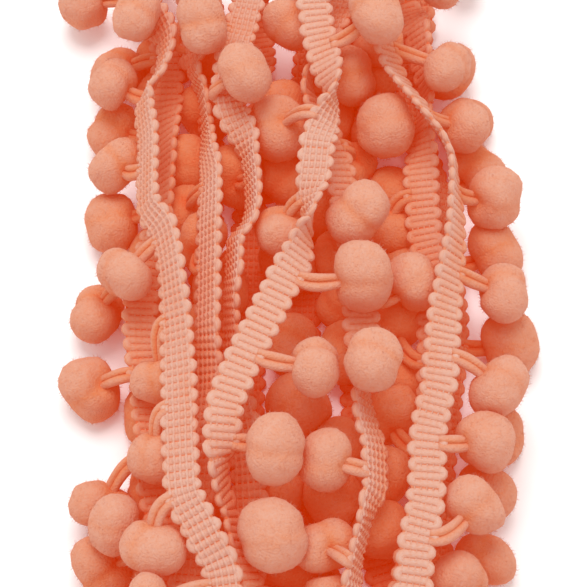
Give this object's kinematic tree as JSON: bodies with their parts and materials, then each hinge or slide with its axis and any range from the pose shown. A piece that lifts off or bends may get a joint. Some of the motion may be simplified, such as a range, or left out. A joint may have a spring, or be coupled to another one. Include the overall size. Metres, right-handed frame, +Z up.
{
  "type": "pompom fringe trim",
  "caption": "Hank of soft woven trim: a narrow ribbed tape wound back and forth, with pompoms hanging on short yarn loops along one edge.",
  "frame": {"origin": "on the surface that the hank rests on, at the flat underside of the fourth lower pass of tape, near the middle of the hank", "axes": "+Y along the hank, the way the tape runs; +X across the hank, from the first pass towards the later ones; +Z up from the surface"},
  "size_m": [0.0901, 0.1578, 0.0345],
  "materials": {
    "heading_upper_1": "matte woven yarn",
    "heading_lower_1": "matte woven yarn",
    "heading_upper_2": "matte woven yarn",
    "heading_lower_2": "matte woven yarn",
    "heading_upper_3": "matte woven yarn",
    "heading_lower_3": "matte woven yarn",
    "heading_upper_4": "matte woven yarn",
    "heading_lower_4": "matte woven yarn",
    "heading_upper_5": "matte woven yarn",
    "heading_lower_5": "matte woven yarn",
    "heading_upper_6": "matte woven yarn",
    "heading_lower_6": "matte woven yarn",
    "heading_lower_7": "matte woven yarn",
    "fringe_upper_1": "brushed acrylic pile",
    "fringe_lower_1": "brushed acrylic pile",
    "fringe_upper_2": "brushed acrylic pile",
    "fringe_lower_2": "brushed acrylic pile",
    "fringe_upper_3": "brushed acrylic pile",
    "fringe_lower_3": "brushed acrylic pile",
    "fringe_upper_4": "brushed acrylic pile",
    "fringe_lower_4": "brushed acrylic pile",
    "fringe_upper_5": "brushed acrylic pile",
    "fringe_lower_5": "brushed acrylic pile",
    "fringe_upper_6": "brushed acrylic pile",
    "fringe_lower_6": "brushed acrylic pile",
    "fringe_lower_7": "brushed acrylic pile"
  },
  "bodies": {
    "root": {"heading_upper_1": "heading_upper_1", "heading_lower_1": "heading_lower_1", "heading_upper_2": "heading_upper_2", "heading_lower_2": "heading_lower_2", "heading_upper_3": "heading_upper_3", "heading_lower_3": "heading_lower_3", "heading_upper_4": "heading_upper_4", "heading_lower_4": "heading_lower_4", "heading_upper_5": "heading_upper_5", "heading_lower_5": "heading_lower_5", "heading_upper_6": "heading_upper_6", "heading_lower_6": "heading_lower_6", "heading_lower_7": "heading_lower_7", "fringe_upper_1": "fringe_upper_1", "fringe_lower_1": "fringe_lower_1", "fringe_upper_2": "fringe_upper_2", "fringe_lower_2": "fringe_lower_2", "fringe_upper_3": "fringe_upper_3", "fringe_lower_3": "fringe_lower_3", "fringe_upper_4": "fringe_upper_4", "fringe_lower_4": "fringe_lower_4", "fringe_upper_5": "fringe_upper_5", "fringe_lower_5": "fringe_lower_5", "fringe_upper_6": "fringe_upper_6", "fringe_lower_6": "fringe_lower_6", "fringe_lower_7": "fringe_lower_7"}
  },
  "joints": []
}
